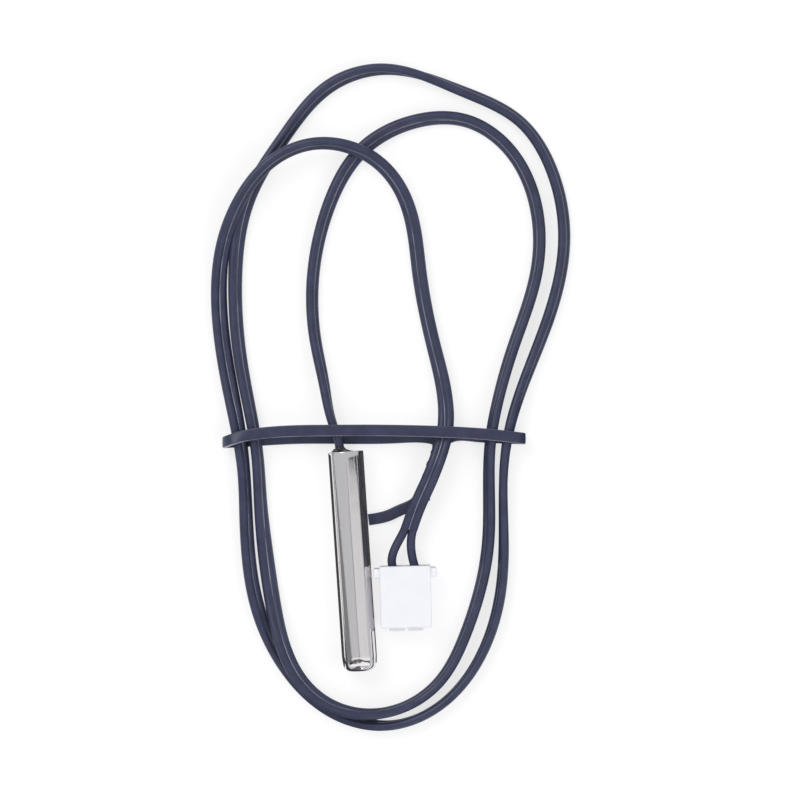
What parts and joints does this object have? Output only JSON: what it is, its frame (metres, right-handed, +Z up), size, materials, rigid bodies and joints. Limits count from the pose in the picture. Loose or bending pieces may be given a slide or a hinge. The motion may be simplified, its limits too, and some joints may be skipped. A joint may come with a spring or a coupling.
{
  "type": "bead thermistor temperature probe",
  "caption": "Temperature probe: a bead thermistor potted in a steel sleeve, with a dark flat two-core lead looped under a wire tie and ending in a white crimp plug",
  "frame": {"origin": "under the middle of the potted sleeve, on the table", "axes": "+Y along the sleeve towards its mouth, +Z up, +X towards the plug"},
  "size_m": [0.0413, 0.0761, 0.004],
  "materials": {
    "sleeve_steel": "polished stainless steel",
    "resin": "black potting resin",
    "bead_glass": "dark glass-coated bead",
    "tinned_wire": "tinned wire",
    "solder": "soft solder",
    "copper": "bare copper strands",
    "core_insulation": "dark slate PVC",
    "joint_tubing": "shrunk joint tubing",
    "cable_cover": "dark slate PVC, softly glossy",
    "nylon": "white nylon, satin",
    "terminal": "tinned bronze sheet",
    "tie_cover": "dark slate cover over a wire"
  },
  "bodies": {
    "root": {"sensor_sleeve": "sleeve_steel", "potting_resin": "resin", "thermistor_bead": "bead_glass", "bead_lead_a": "tinned_wire", "bead_lead_b": "tinned_wire", "solder_joint_a": "solder", "solder_joint_b": "solder", "sleeve_strands_a": "copper", "sleeve_strands_b": "copper", "sleeve_core_a": "core_insulation", "sleeve_core_b": "core_insulation", "joint_tube_a": "joint_tubing", "joint_tube_b": "joint_tubing", "cable": "cable_cover", "plug_core_a": "core_insulation", "plug_core_b": "core_insulation", "plug_strands_a": "copper", "plug_strands_b": "copper", "plug_housing": "nylon", "crimp_terminal_a": "terminal", "crimp_terminal_b": "terminal", "cable_tie": "tie_cover"}
  },
  "joints": []
}
